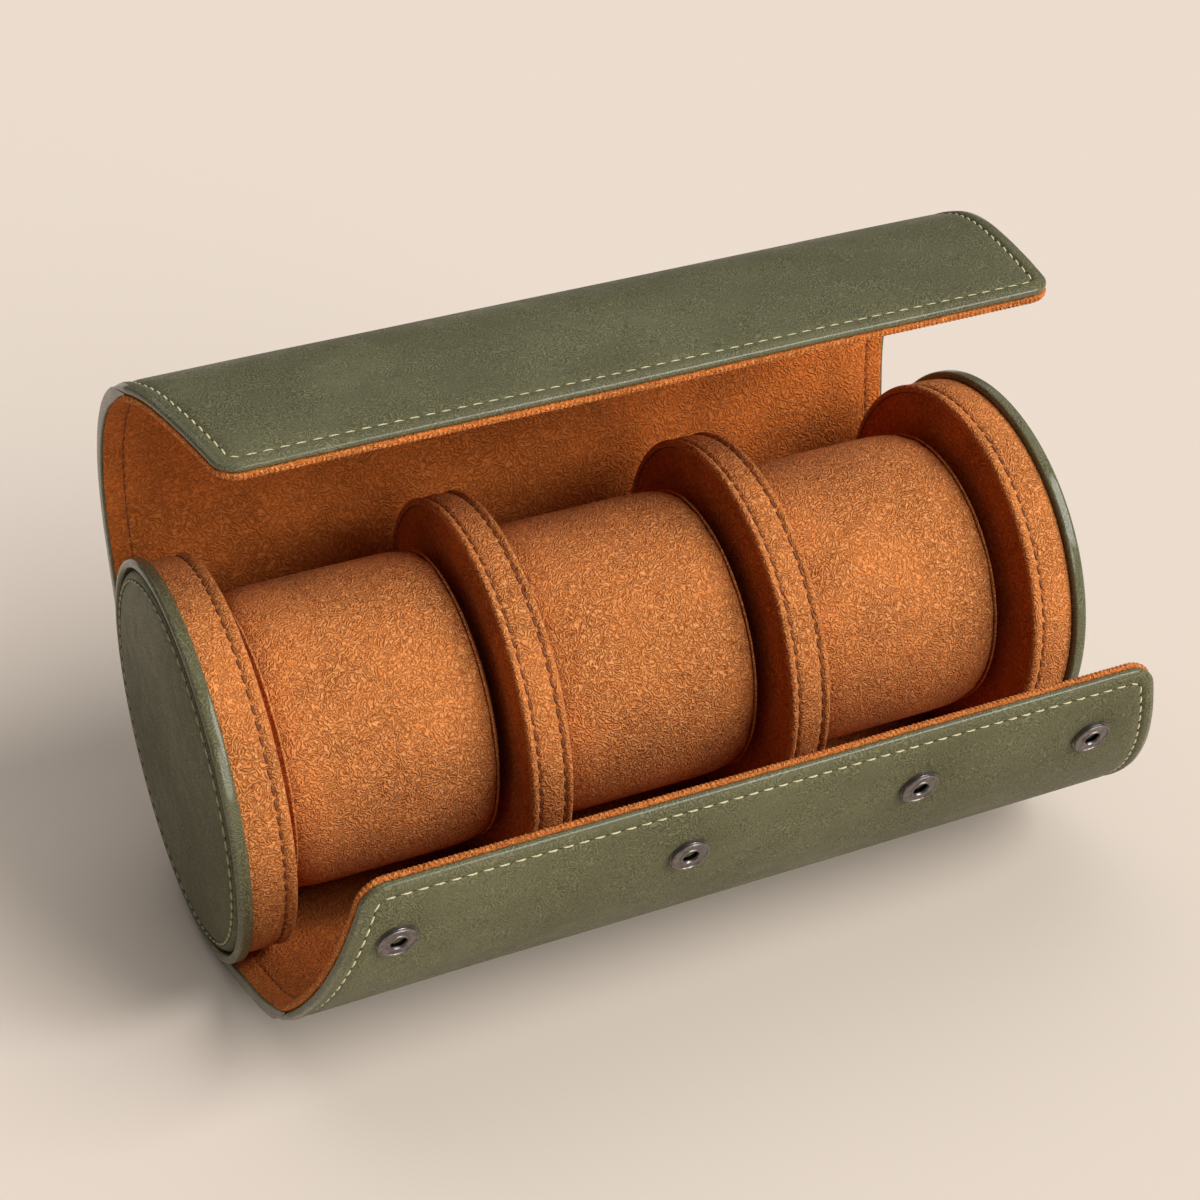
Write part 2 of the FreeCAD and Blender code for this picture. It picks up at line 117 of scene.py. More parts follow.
# Half sizes of the dark ellipsoids set in the needle holes as painted shade
HOLE = Vector((0.42, 0.3, 0.14)) * MM
CUT_STEP = 2 * MM
CROSS_STEP = 9 * MM
STUD_REACH = 8 * MM
SOCKET_DENT = 6.5 * MM
STUD_DENT = 5.2 * MM
DENT_DEPTH = 0.5 * MM
TINY = 1e-6


class RollSizes(PropertyGroup):
    """Sizes of the sewing and of the soft parts."""
    leather_high: FloatProperty(
        name="Leather outside", description="Leather surface outside the wall's middle line",
        default=1.5 * MM, unit="LENGTH")
    leather_low: FloatProperty(
        name="Leather back", description="Back of the turned leather from the wall's middle line",
        default=-0.3 * MM, unit="LENGTH")
    lining_low: FloatProperty(
        name="Lining inside", description="Suede surface inside the wall's middle line",
        default=-2.0 * MM, unit="LENGTH")
    cradle_padding: FloatProperty(
        name="Cradle padding", description="Padding behind the lining under the dividers",
        default=1.1 * MM, unit="LENGTH")
    lip_taper: FloatProperty(
        name="Lip taper", description="Inset of the cover's free corners", default=7 * MM, unit="LENGTH")
    front_taper: FloatProperty(
        name="Front taper", description="Inset of the front flap's free corners", default=12 * MM, unit="LENGTH")
    corner_radius: FloatProperty(
        name="Corner radius", description="Rounding of the free corners", default=5 * MM, unit="LENGTH")
    stitch_pitch: FloatProperty(
        name="Stitch pitch", description="Distance from stitch to stitch", default=3.45 * MM, unit="LENGTH")
    stitch_length: FloatProperty(
        name="Stitch length", description="Length of one visible stitch", default=2.5 * MM, unit="LENGTH")
    stitch_width: FloatProperty(
        name="Thread", description="Thickness of the thread", default=0.6 * MM, unit="LENGTH")
    pillow_radius: FloatProperty(
        name="Pillow radius", description="Crown of a watch pillow", default=35.8 * MM, unit="LENGTH")
    snaps: FloatVectorProperty(
        name="Studs", description="Places of the press studs along the roll", size=4, unit="LENGTH",
        default=(-84.05 * MM, -19.57 * MM, 35.23 * MM, 78.69 * MM))


class RollColours(PropertyGroup):
    """Colours of the leather, suede, threads and metal."""
    leather: FloatVectorProperty(
        name="Leather", description="Olive green leather", subtype="COLOR", default=(0.11, 0.107, 0.057))
    suede: FloatVectorProperty(
        name="Suede", description="Rust tan suede", subtype="COLOR", default=(0.645, 0.217, 0.058))
    # The tan suede made darker and deeper for the surfaces inside: painted shade
    lining: FloatVectorProperty(
        name="Lining", description="Tan suede darkened and deepened as painted shade inside", subtype="COLOR", default=(0.56, 0.15, 0.028))
    thread: FloatVectorProperty(
        name="Thread", description="Cream sewing thread", subtype="COLOR", default=(0.69, 0.62, 0.39))
    # The cream thread darkened as painted shade, for the stitches on the end caps' faces
    cap_thread: FloatVectorProperty(
        name="Cap thread", description="Cream thread darkened as painted shade on the end caps", subtype="COLOR", default=(0.42, 0.39, 0.23))
    dark_thread: FloatVectorProperty(
        name="Dark thread", description="Brown thread on the suede", subtype="COLOR", default=(0.17, 0.052, 0.016))
    metal: FloatVectorProperty(
        name="Studs", description="Antique gunmetal", subtype="COLOR", default=(0.21, 0.185, 0.175))
    floor: FloatVectorProperty(
        name="Floor", description="Pale floor", subtype="COLOR", default=(0.78, 0.688, 0.61))


def sizes():
    return bpy.context.scene.watch_roll_sizes


def colours():
    return bpy.context.scene.watch_roll_colours


# Materials


class Value:
    """A shader socket that takes part in Python arithmetic."""

    def __init__(self, finish, socket):
        self.finish = finish
        self.socket = socket

    def math(self, operation, *values):
        return self.finish.add("ShaderNodeMath", {"operation": operation}, dict(enumerate(values)))

    def __add__(self, other):
        return self.math("ADD", self, other)

    def __sub__(self, other):
        return self.math("SUBTRACT", self, other)

    def __rsub__(self, other):
        return self.math("SUBTRACT", other, self)

    def __mul__(self, other):
        return self.math("MULTIPLY", self, other)

    def other(self, output):
        """Another output of the same node."""
        return Value(self.finish, self.socket.node.outputs[output])

    __radd__ = __add__
    __rmul__ = __mul__


class Finish:
    """A material under construction: one principled shader and the nodes that feed it."""

    def __init__(self, name, **constants):
        self.material = bpy.data.materials.new(name)
        self.material.use_nodes = True
        self.tree = self.material.node_tree
        self.shader = self.tree.nodes["Principled BSDF"]
        for socket, value in constants.items():
            self.shader.inputs[socket.replace("_", " ")].default_value = value
        self.place = self.add("ShaderNodeTexCoord", out="Object")

    def add(self, kind, settings=None, sockets=None, out=0):
        """One node: its settings, then its sockets' values or links. Returns one of its outputs."""
        node = self.tree.nodes.new(kind)
        for key, value in (settings or {}).items():
            setattr(node, key, value)
        for key, value in (sockets or {}).items():
            if isinstance(value, Value):
                self.tree.links.new(value.socket, node.inputs[key])
            else:
                node.inputs[key].default_value = value
        return Value(self, node.outputs[out])

    def feed(self, socket, value):
        self.tree.links.new(value.socket, self.shader.inputs[socket])

    def noise(self, size, detail=2.0, roughness=0.5, place=None):
        """Noise whose features are about as large as size, in metres."""
        return self.add("ShaderNodeTexNoise", {}, {
            "Vector": place or self.place, "Scale": 1 / size, "Detail": detail, "Roughness": roughness})

    def shifted(self, offset):
        return self.add("ShaderNodeVectorMath", {"operation": "ADD"}, {0: self.place, 1: offset})

    def ramp(self, value, low, high):
        """0 below low, 1 above high, smooth between."""
        return self.add("ShaderNodeMapRange", {"interpolation_type": "SMOOTHSTEP"}, {
            "Value": value, "From Min": low, "From Max": high})

    def blend(self, factor, first, second):
        """A colour between two colours."""
        return self.add("ShaderNodeMix", {"data_type": "RGBA"}, {
            0: factor, 6: first if isinstance(first, Value) else (*first, 1.0),
            7: second if isinstance(second, Value) else (*second, 1.0)}, out=2)

    def vector(self, operation, first, second, out=0):
        return self.add("ShaderNodeVectorMath", {"operation": operation}, {0: first, 1: second}, out)

    def combed(self, size, pitch, offset):
        """Strokes, 1 on them and -1 between, combed another way in each cell of this size. Also the cells."""
        place = self.shifted(offset)
        wander = self.noise(size * 0.6, detail=0.0, place=place).other("Color")
        wander = self.vector("MULTIPLY", self.vector("SUBTRACT", wander, (0.5, 0.5, 0.5)), (size * 0.8,) * 3)
        place = self.vector("ADD", place, wander)
        cell = self.add("ShaderNodeTexVoronoi", {}, {"Vector": place, "Scale": 1 / size})
        away = self.vector("SUBTRACT", place, cell.other("Position"))
        across = self.vector("SUBTRACT", cell.other("Color"), (0.5, 0.5, 0.5))
        across = self.vector("NORMALIZE", across, (0.0, 0.0, 0.0))
        off_line = self.vector("DOT_PRODUCT", away, across, out=1) * (2 * math.pi / pitch)
        return off_line.math("COSINE", off_line), cell

    def strokes(self, size, pitch):
        """Short strokes all over: each cell's own, and other ones across the seams between the cells."""
        wave, cell = self.combed(size, pitch, (0.31, 0.17, 0.05))
        other, unused = self.combed(size * 0.8, pitch * 0.86, (0.57, 0.07, 0.21))
        seam = self.ramp(cell, 0.36, 0.58)
        return wave * (1 - seam) + other * seam

    def bump(self, height, distance, strength):
        return self.add("ShaderNodeBump", {}, {"Height": height, "Distance": distance, "Strength": strength})


def tint(colour, factor):
    return tuple(channel * factor for channel in colour)


def leather_finish(name, polish, coat_roughness, coat_ior):
    """Waxed leather: cloudy colour, fine curly grain with a painted highlight on its ridges and painted shade in its
    hollows, and a soft gloss, stronger where it is polished.
    """
    finish = Finish(name, Specular_IOR_Level=0.05, Coat_Roughness=coat_roughness, Coat_IOR=coat_ior)
    base = colours().leather
    cloud = finish.ramp(finish.noise(28 * MM, detail=3.0, roughness=0.5), 0.32, 0.7)
    blotch = finish.ramp(finish.noise(5 * MM, detail=3.0, roughness=0.6), 0.3, 0.72)
    patches = finish.ramp(finish.noise(9 * MM, detail=2.0), 0.3, 0.62) * 0.6 + 0.4
    curls = finish.strokes(2.2 * MM, 0.72 * MM)
    # Masks of the grain's ridges and hollows, which carry its painted highlight and painted shade
    ridges = finish.ramp(curls, 0.1, 1.0) * patches
    crease_shade = finish.ramp(0 - curls, 0.1, 1.0) * patches
    colour = finish.blend(cloud, tint(base, 0.85), tint(base, 1.14))
    colour = finish.blend(blotch * 0.35, colour, tint(base, 0.82))
    # Painted shade in the grain's hollows, then a painted highlight on its ridges, where the bump lies low and high
    colour = finish.blend(crease_shade * 0.6, colour, tint(base, 0.52))
    colour = finish.blend(ridges * 0.52, colour, tint(base, 1.9))
    finish.feed("Base Color", colour)
    finish.feed("Roughness", 0.45 + blotch * 0.1 - ridges * 0.08)
    finish.feed("Coat Weight", polish + cloud * 0.06)
    pores = finish.noise(0.6 * MM, detail=2.0)
    height = curls * patches * 0.4 + pores * 0.3 + blotch * 0.4
    finish.feed("Normal", finish.bump(height, 0.12 * MM, 0.8))
    return finish.material


def suede_finish(name, base, tuft, pitch, contrast):
    """Suede: short combed fibres, paler than the nap they stand in and given a painted highlight, with painted shade
    between them, and smoother brushed patches.
    """
    finish = Finish(name, Sheen_Weight=0.06, Sheen_Roughness=0.5, Specular_IOR_Level=0.05)
    finish.shader.inputs["Sheen Tint"].default_value = (1.0, 0.7, 0.48, 1.0)
    brushed = finish.ramp(finish.noise(19 * MM, detail=2.0, roughness=0.5), 0.32, 0.7)
    combed = finish.strokes(tuft, pitch)
    rough = (1 - brushed * 0.4) * contrast
    tufts = finish.ramp(finish.noise(tuft * 0.75, detail=1.0), 0.36, 0.62)
    # Where the combed fibres stand: paler fibre with a painted highlight; between them: painted shade
    pale_lit_strands = finish.ramp(combed, 0.1, 0.95) * rough * (0.35 + tufts * 0.65)
    gap_shade = finish.ramp(0 - combed, 0.1, 0.95) * rough * (1 - tufts * 0.55)
    dust = finish.noise(0.7 * MM, detail=2.0)
    colour = finish.blend(brushed, tint(base, 0.74), tint(base, 1.14))
    colour = finish.blend(finish.ramp(dust, 0.32, 0.62), tint(base, 0.82), colour)
    # Painted shade between the fibres, then paler fibres with a painted highlight
    colour = finish.blend(gap_shade, colour, tuple(
        channel * factor for channel, factor in zip(base, (0.34, 0.26, 0.18))))
    colour = finish.blend(pale_lit_strands * (0.3 + dust * 0.5), colour, tuple(
        channel * factor for channel, factor in zip(base, (1.48, 2.1, 3.0))))
    finish.feed("Base Color", colour)
    finish.feed("Roughness", 0.97 - brushed * 0.1)
    finish.feed("Normal", finish.bump(combed * 0.5 + dust * 0.4, 0.26 * MM, 0.9))
    return finish.material


def thread_finish(name, colour):
    """Twisted waxed thread."""
    finish = Finish(name, Specular_IOR_Level=0.3)
    twist = finish.noise(0.35 * MM, detail=2.0)
    finish.feed("Base Color", finish.blend(finish.ramp(twist, 0.3, 0.7), tint(colour, 0.68), tint(colour, 1.15)))
    finish.feed("Roughness", 0.5 + twist * 0.2)
    finish.feed("Normal", finish.bump(twist, 0.06 * MM, 0.8))
    return finish.material


def metal_finish(name, base):
    """Antique gunmetal: brushed, a little tarnished."""
    finish = Finish(name)
    tarnish = finish.ramp(finish.noise(1.3 * MM, detail=4.0, roughness=0.65), 0.36, 0.68)
    speck = finish.noise(0.35 * MM, detail=3.0)
    finish.feed("Base Color", finish.blend(tarnish, tint(base, 1.12), tint(base, 0.62)))
    finish.feed("Metallic", 1 - tarnish * 0.1)
    finish.feed("Roughness", 0.33 + tarnish * 0.16)
    finish.feed("Normal", finish.bump(speck + tarnish, 0.04 * MM, 0.6))
    return finish.material


FINISHES = {
    "leather": lambda: leather_finish("Olive leather", 0.06, 0.22, 1.45),
    "edge": lambda: leather_finish("Polished leather edge", 0.6, 0.12, 1.45),
    "suede": lambda: suede_finish("Tan suede", colours().suede, 1.75 * MM, 0.7 * MM, 1.0),
    # The inside's suede, darker and deeper than the tan suede as painted shade
    "lining": lambda: suede_finish("Rust suede", colours().lining, 2.5 * MM, 0.95 * MM, 0.62),
    "thread": lambda: thread_finish("Cream thread", colours().thread),
    # Near-black leather colour on the ellipsoids in the needle holes: painted shade
    "needle_hole": lambda: thread_finish("Needle holes", tint(colours().leather, 0.16)),
    # The cream thread darkened as painted shade for the end caps
    "cap_thread": lambda: thread_finish("Olive thread", colours().cap_thread),
    "dark_thread": lambda: thread_finish("Brown thread", colours().dark_thread),
    "metal": lambda: metal_finish("Gunmetal", colours().metal),
    # Gunmetal darkened almost to black for the sockets' wells: painted shade in the holes
    "dark_metal": lambda: metal_finish("Blackened metal", tint(colours().metal, 0.08)),
}
made_finishes = {}


def finish_of(kind):
    if kind not in made_finishes:
        made_finishes[kind] = FINISHES[kind]()
    return made_finishes[kind]


# Pieces


def piece(name, shape, kind, sharp=50.0):
    """Makes an object at the origin from a bmesh, with its finish."""
    mesh = bpy.data.meshes.new(name)
    bmesh.ops.recalc_face_normals(shape, faces=shape.faces)
    shape.to_mesh(mesh)
    shape.free()
    mesh.shade_smooth()
    mesh.set_sharp_from_angle(angle=math.radians(sharp))
    mesh.materials.append(finish_of(kind))
    item = bpy.data.objects.new(name, mesh)
    bpy.context.scene.collection.objects.link(item)
    return item


def wall_frame(run):
    """Point and heading of the wall's middle line at a distance along it from the back fold."""
    y, z = FOLDS["cover_swing"][1:]
    heading = math.pi / 2
    way = 1 if run >= 0 else -1
    left = abs(run)
    for length, turn in COVER_RUNS if way > 0 else FRONT_RUNS:
        step = min(left, length)
        angle = turn * step / length
        chord = 2 * length / turn * math.sin(angle / 2) if turn else step
        y += way * chord * math.cos(heading + way * angle / 2)
        z += way * chord * math.sin(heading + way * angle / 2)
        heading += way * angle
        left -= step
    return y + way * left * math.cos(heading), z + way * left * math.sin(heading), heading


SAG_PACE = 22
SAG_SEED = 0.3
SAG = 0.22 * MM


def rolled(flat):
    """The place on the roll of a point of the flat pattern: along X, along the wall, above the middle line."""
    y, z, heading = wall_frame(flat.y)
    sag = noise.noise(Vector((flat.x * SAG_PACE, flat.y * SAG_PACE, SAG_SEED))) * SAG
    high = flat.z + sag
    return Vector((flat.x, y + high * math.sin(heading), max(z - high * math.cos(heading), 0.0)))


def roll_up(shape):
    for vert in shape.verts:
        vert.co = rolled(vert.co)


def half_width(run):
    """Half the wrap's length along X: full at the cradle, tapered at the flaps."""
    y, z, heading = wall_frame(run)
    if run > LIP_FOLD:
        fold, edge = wall_frame(LIP_FOLD)[0], wall_frame(LIP_EDGE)[0]
        return HALF_LENGTH - sizes().lip_taper * (y - fold) / (edge - fold)
    if run < FLAP_FOLD:
        fold, edge = wall_frame(FLAP_FOLD)[1], wall_frame(FRONT_EDGE)[1]
        return HALF_LENGTH - sizes().front_taper * (z - fold) / (edge - fold)
    return HALF_LENGTH


def border_distance(flat):
    """How far inside the wrap's border a point of the flat pattern lies."""
    return min(half_width(flat.y) - abs(flat.x), flat.y - FRONT_EDGE, LIP_EDGE - flat.y)


def flat_blank(low, high, rounding):
    """The wrap cut flat, with tapered flaps, rounded corners and rounded edges. Returns its two broad faces too."""
    runs = [FRONT_EDGE + (FLAP_FOLD - FRONT_EDGE) * step / 4 for step in range(5)]
    runs += [LIP_FOLD + (LIP_EDGE - LIP_FOLD) * step / 2 for step in range(3)]
    shape = bmesh.new()
    right = [shape.verts.new((half_width(run), run, low)) for run in runs]
    left = [shape.verts.new((-half_width(run), run, low)) for run in reversed(runs)]
    shape.faces.new(right + left)
    corners = [right[0], right[-1], left[0], left[-1]]
    bmesh.ops.bevel(
        shape, geom=corners, offset=sizes().corner_radius, affect="VERTICES", segments=10, profile=0.5, material=-1)
    shape.normal_update()
    grown = bmesh.ops.extrude_face_region(shape, geom=shape.faces[:])["geom"]
    bmesh.ops.translate(
        shape, verts=[item for item in grown if isinstance(item, bmesh.types.BMVert)], vec=(0, 0, high - low))
    bmesh.ops.recalc_face_normals(shape, faces=shape.faces)
    broad = sorted(shape.faces, key=lambda face: -face.calc_area())[:2]
    rims = {edge for face in broad for edge in face.edges}
    bmesh.ops.bevel(
        shape, geom=list(rims), offset=rounding, affect="EDGES", segments=4, profile=0.5, material=-1,
        clamp_overlap=True)
    broad = sorted(shape.faces, key=lambda face: -face.calc_area())[:2]
    broad.sort(key=lambda face: face.calc_center_median().z)
    return shape, broad


def sewn(shape, face, steps):
    """Insets a broad face by a hem's steps and returns the ring where it lies deepest."""
    ring = None
    deepest = 0.0
    level = 0.0
    for distance, height in steps:
        bmesh.ops.inset_region(
            shape, faces=[face], thickness=distance * MM, depth=height * MM, use_boundary=True, use_even_offset=True)
        level += height
        if level < deepest:
            deepest = level
            ring = [vert.co.copy() for vert in face.verts]
    return ring


def cut_rows(shape, runs, across):
    """Knife cuts along and across the flat pattern, where it has to bend."""
    for x in across:
        bmesh.ops.bisect_plane(
            shape, geom=shape.verts[:] + shape.edges[:] + shape.faces[:], plane_co=(x, 0, 0), plane_no=(1, 0, 0))
    for run in runs:
        bmesh.ops.bisect_plane(
            shape, geom=shape.verts[:] + shape.edges[:] + shape.faces[:], plane_co=(0, run, 0), plane_no=(0, 1, 0))


def stretch_of(shape, start, end):
    """A copy of the flat pattern from start to end, with its cut ends closed."""
    part = shape.copy()
    for run, clear in ((start, {"clear_inner": True}), (end, {"clear_outer": True})):
        bmesh.ops.bisect_plane(
            part, geom=part.verts[:] + part.edges[:] + part.faces[:], plane_co=(0, run, 0), plane_no=(0, 1, 0), **clear)
        open_edges = [edge for edge in part.edges if edge.is_boundary]
        if open_edges:
            bmesh.ops.holes_fill(part, edges=open_edges)
    return part


def fasten(item, stretch):
    """Bakes a piece of the wrap's placement into its mesh; the points it works out about its stretch's fold are not
    used.
    """
    name, first, second, fold, start, end = stretch
    reach = BEND_REACH if fold >= 0 else -BEND_REACH
    points = [(0, *wall_frame(place)[:2]) for place in (fold - reach, fold + reach)]
    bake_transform(item)


def stud_centres(run):
    return [(x, run) for x in sizes().snaps]


SOCKETS_AT = FRONT_EDGE + 17 * MM
STUDS_AT = LIP_EDGE - 10 * MM


def press_in(shape, centres, reach, depth, wanted):
    """Dents a flat pattern round each centre."""
    for vert in shape.verts:
        if not wanted(vert.co.z):
            continue
        for x, run in centres:
            away = math.hypot(vert.co.x - x, vert.co.y - run) / reach
            if away < 3:
                vert.co.z += depth * math.exp(-away ** 4)


def stations(step, near, reach):
    """Cuts along X: every step, and finer near the given places."""
    count = int(2 * HALF_LENGTH / step)
    places = {-HALF_LENGTH + 2 * HALF_LENGTH * (index + 0.5) / count for index in range(count)}
    for x in near:
        places |= {x + reach * (index / 4) for index in range(-4, 5)}
    return sorted(places)


def runs_between(step):
    count = int((LIP_EDGE - FRONT_EDGE) / step)
    return [FRONT_EDGE + (LIP_EDGE - FRONT_EDGE) * (index + 0.5) / count for index in range(count)]


def resampled(ring, pitch):
    """Points and directions along a closed ring, a pitch apart."""
    lengths = [(ring[index] - ring[index - 1]).length for index in range(len(ring))]
    total = sum(lengths)
    count = int(total / pitch)
    places = []
    index, walked = 0, 0.0
    for number in range(count):
        target = total * number / count
        while walked + lengths[index] < target:
            walked += lengths[index]
            index += 1
        start, end = ring[index - 1], ring[index]
        share = (target - walked) / lengths[index]
        places.append((start.lerp(end, share), (end - start).normalized()))
    return places


def strand(shape, centre, along, up, reach):
    """One small ellipsoid: its half sizes along, across and up."""
    axes = Matrix((along, up.cross(along), up)).transposed().to_4x4()
    bmesh.ops.create_uvsphere(
        shape, u_segments=6, v_segments=5, radius=1.0,
        matrix=Matrix.Translation(centre) @ axes @ Matrix.Diagonal(reach).to_4x4()
        @ Matrix.Rotation(math.pi / 2, 4, "Y"))


def stitch(shape, centre, along, up):
    """One stitch: a short slanted strand that dives into the leather at both ends."""
    along = (along + up.cross(along) * STITCH_SLANT).normalized()
    width = sizes().stitch_width / 2
    strand(shape, centre, along, up, Vector((sizes().stitch_length / 2, width, width)))


def share_out(name, shapes, kind):
    """Rolls up what lies on the wrap's stretches and makes a piece of each."""
    for stretch in STRETCHES:
        shape = shapes[stretch[0]]
        if shape.verts:
            roll_up(shape)
            fasten(piece(f"{name}_{stretch[0]}", shape, kind), stretch)


def stretch_at(run):
    return next(stretch[0] for stretch in STRETCHES if stretch[4] <= run < stretch[5])


def sew_wrap(name, ring, up, kind, lift):
    """Stitches along a ring of the flat pattern, with dark ellipsoids between them as painted shade in the needle
    holes, shared out over the wrap's stretches.
    """
    threads = {stretch[0]: bmesh.new() for stretch in STRETCHES}
    holes = {stretch[0]: bmesh.new() for stretch in STRETCHES}
    for centre, along in resampled(ring, sizes().stitch_pitch):
        stitch(threads[stretch_at(centre.y)], centre + up * lift, along, up)
        gap = centre + along * sizes().stitch_pitch / 2
        strand(holes[stretch_at(gap.y)], gap, along, up, HOLE)
    share_out(name, threads, kind)
    # On the leather the hole ellipsoids take painted shade; on the suede they take the brown thread
    share_out(f"{name}_holes", holes, "needle_hole" if kind == "thread" else kind)


RIDGE_PITCH = 1.08 * MM
RIDGE = Vector((0.56, 0.62, 0.86)) * MM
RIDGE_OUT = 0.2 * MM


def whip_edge(name, ring, high):
    """The lining's cut edge on both flaps, drawn into ridges by its sewing."""
    ridges = {stretch[0]: bmesh.new() for stretch in STRETCHES}
    middle = sum(ring, Vector()) / len(ring)
    up = Vector((0, 0, 1))
    for centre, along in resampled(ring, RIDGE_PITCH):
        if FLAP_FOLD < centre.y < LIP_FOLD:
            continue
        out = up.cross(along)
        if out.dot(centre - middle) < 0:
            out = -out
        place = centre + out * RIDGE_OUT
        place.z = (sizes().lining_low + high) / 2
        strand(ridges[stretch_at(centre.y)], place, along, up, RIDGE)
    share_out(name, ridges, "suede")


# Hems as steps inwards from the border: distance and height, in millimetres
LEATHER_HEM = ((0.5, 0.2), (0.9, 0.1), (0.8, -0.12), (0.5, -0.5), (0.5, 0.3), (0.9, 0.18), (0.7, 0.05))
LINING_HEM = ((0.6, 0.1), (3.2, 0.0), (0.45, -0.22), (0.45, 0.22))
LEATHER_ROUNDING = 0.82 * MM
LINING_ROUNDING = 0.55 * MM
POLISHED = 1.3 * MM
THREAD_LIFT = 0.1 * MM
LINING_THREAD_LIFT = -0.02 * MM
BINDING = Vector((0.9, 0.0, 3.3)) * MM
BINDING_LEVEL = -0.2 * MM
BINDING_ROUNDING = 0.42 * MM
BINDING_FADE = 12 * MM
BINDING_LEAST = 0.1


def bind_ends():
    """Leather folded over the wrap's straight ends, from the flap's taper to the lip's."""
    middle, length = (FLAP_FOLD + LIP_FOLD) / 2, LIP_FOLD - FLAP_FOLD
    for side, way in SIDES:
        end = way * HALF_LENGTH
        shape = bmesh.new()
        bmesh.ops.create_cube(
            shape, size=1.0, matrix=Matrix.Translation((end, middle, BINDING_LEVEL))
            @ Matrix.Diagonal((BINDING.x, length, BINDING.z, 1.0)))
        long_edges = [edge for edge in shape.edges if abs(edge.verts[0].co.y - edge.verts[1].co.y) > BINDING.z * 2]
        bmesh.ops.bevel(
            shape, geom=long_edges, offset=BINDING_ROUNDING, affect="EDGES", segments=4, profile=0.5, material=-1)
        cut_rows(shape, runs_between(CUT_STEP), [])
        for vert in shape.verts:
            share = min(vert.co.y - FLAP_FOLD, LIP_FOLD - vert.co.y) / BINDING_FADE
            share = min(max(share, BINDING_LEAST), 1.0)
            vert.co.x = end + (vert.co.x - end) * share
            vert.co.z = BINDING_LEVEL + (vert.co.z - BINDING_LEVEL) * share
        parts = {stretch[0]: stretch_of(shape, stretch[4], stretch[5]) for stretch in STRETCHES}
        shape.free()
        share_out(f"{side}_binding", parts, "edge")


class WATCHROLL_OT_leather(Operator):
    """Cuts the outer leather flat, hems it, rolls it up and sews its border"""
    bl_idname = "watch_roll.leather"
    bl_label = "Leather wrap"

    def execute(self, context):
        shape, (back, front) = flat_blank(sizes().leather_low, sizes().leather_high, LEATHER_ROUNDING)
        ring = sewn(shape, front, LEATHER_HEM)
        sockets = stud_centres(SOCKETS_AT)
        cut_rows(shape, runs_between(CUT_STEP), stations(CROSS_STEP, sizes().snaps, STUD_REACH))
        press_in(shape, sockets, SOCKET_DENT, -DENT_DEPTH, lambda height: height > 0)
        for stretch in STRETCHES:
            label, first, second, fold, start, end = stretch
            part = stretch_of(shape, start, end)
            for face in part.faces:
                face.material_index = int(border_distance(face.calc_center_median()) < POLISHED)
            roll_up(part)
            item = piece(f"wrap_leather_{label}", part, "leather")
            item.data.materials.append(finish_of("edge"))
            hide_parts(*(f"{panel}_{layer}" for panel in PANELS[label] for layer in ("leather", "board")))
            fasten(item, stretch)
        shape.free()
        bind_ends()
        sew_wrap("wrap_thread", ring, Vector((0, 0, 1)), "thread", THREAD_LIFT)
        return {"FINISHED"}


# The lining stands off the boards under the dividers, between these places
PAD_EDGE = 99.6 * MM
PAD_STEP = 1 * MM
PAD_FRONT = FRONT_FOLD + 2 * MM
PAD_BACK = -3 * MM
PAD_FADE = 12 * MM
INSIDE_LEVEL = -1.2 * MM
LINING_GAP = 0.05 * MM


class WATCHROLL_OT_lining(Operator):
    """Cuts the suede lining flat, pads it under the dividers, rolls it up and sews its sides"""
    bl_idname = "watch_roll.lining"
    bl_label = "Suede lining"

    def execute(self, context):
        high = sizes().leather_low - LINING_GAP
        shape, (inside, hidden) = flat_blank(sizes().lining_low, high, LINING_ROUNDING)
        edge = [vert.co.copy() for vert in inside.verts]
        ring = sewn(shape, inside, LINING_HEM)
        studs = stud_centres(STUDS_AT) + stud_centres(SOCKETS_AT)
        pad_cuts = [way * place for way in (-1, 1) for place in (PAD_EDGE, PAD_EDGE - PAD_STEP)]
        across = stations(CROSS_STEP, sizes().snaps, STUD_REACH) + pad_cuts
        cut_rows(shape, runs_between(CUT_STEP), sorted(set(across)))
        press_in(shape, studs, STUD_DENT, DENT_DEPTH, lambda height: height < INSIDE_LEVEL)
        for vert in shape.verts:
            if vert.co.z < INSIDE_LEVEL and abs(vert.co.x) < PAD_EDGE - PAD_STEP / 2:
                rise = min(vert.co.y - PAD_FRONT, PAD_BACK - vert.co.y) / PAD_FADE
                rise = min(max(rise, 0.0), 1.0)
                vert.co.z -= sizes().cradle_padding * rise * rise * (3 - 2 * rise)
        for stretch in STRETCHES:
            label, first, second, fold, start, end = stretch
            part = stretch_of(shape, start, end)
            roll_up(part)
            # The lining suede's darker, deeper colour is painted shade
            item = piece(f"wrap_lining_{label}", part, "lining")
            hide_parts(*(f"{panel}_lining" for panel in PANELS[label]))
            fasten(item, stretch)
        shape.free()
        sew_wrap("lining_thread", ring, Vector((0, 0, -1)), "dark_thread", LINING_THREAD_LIFT)
        whip_edge("lining_edge", edge, high)
        return {"FINISHED"}


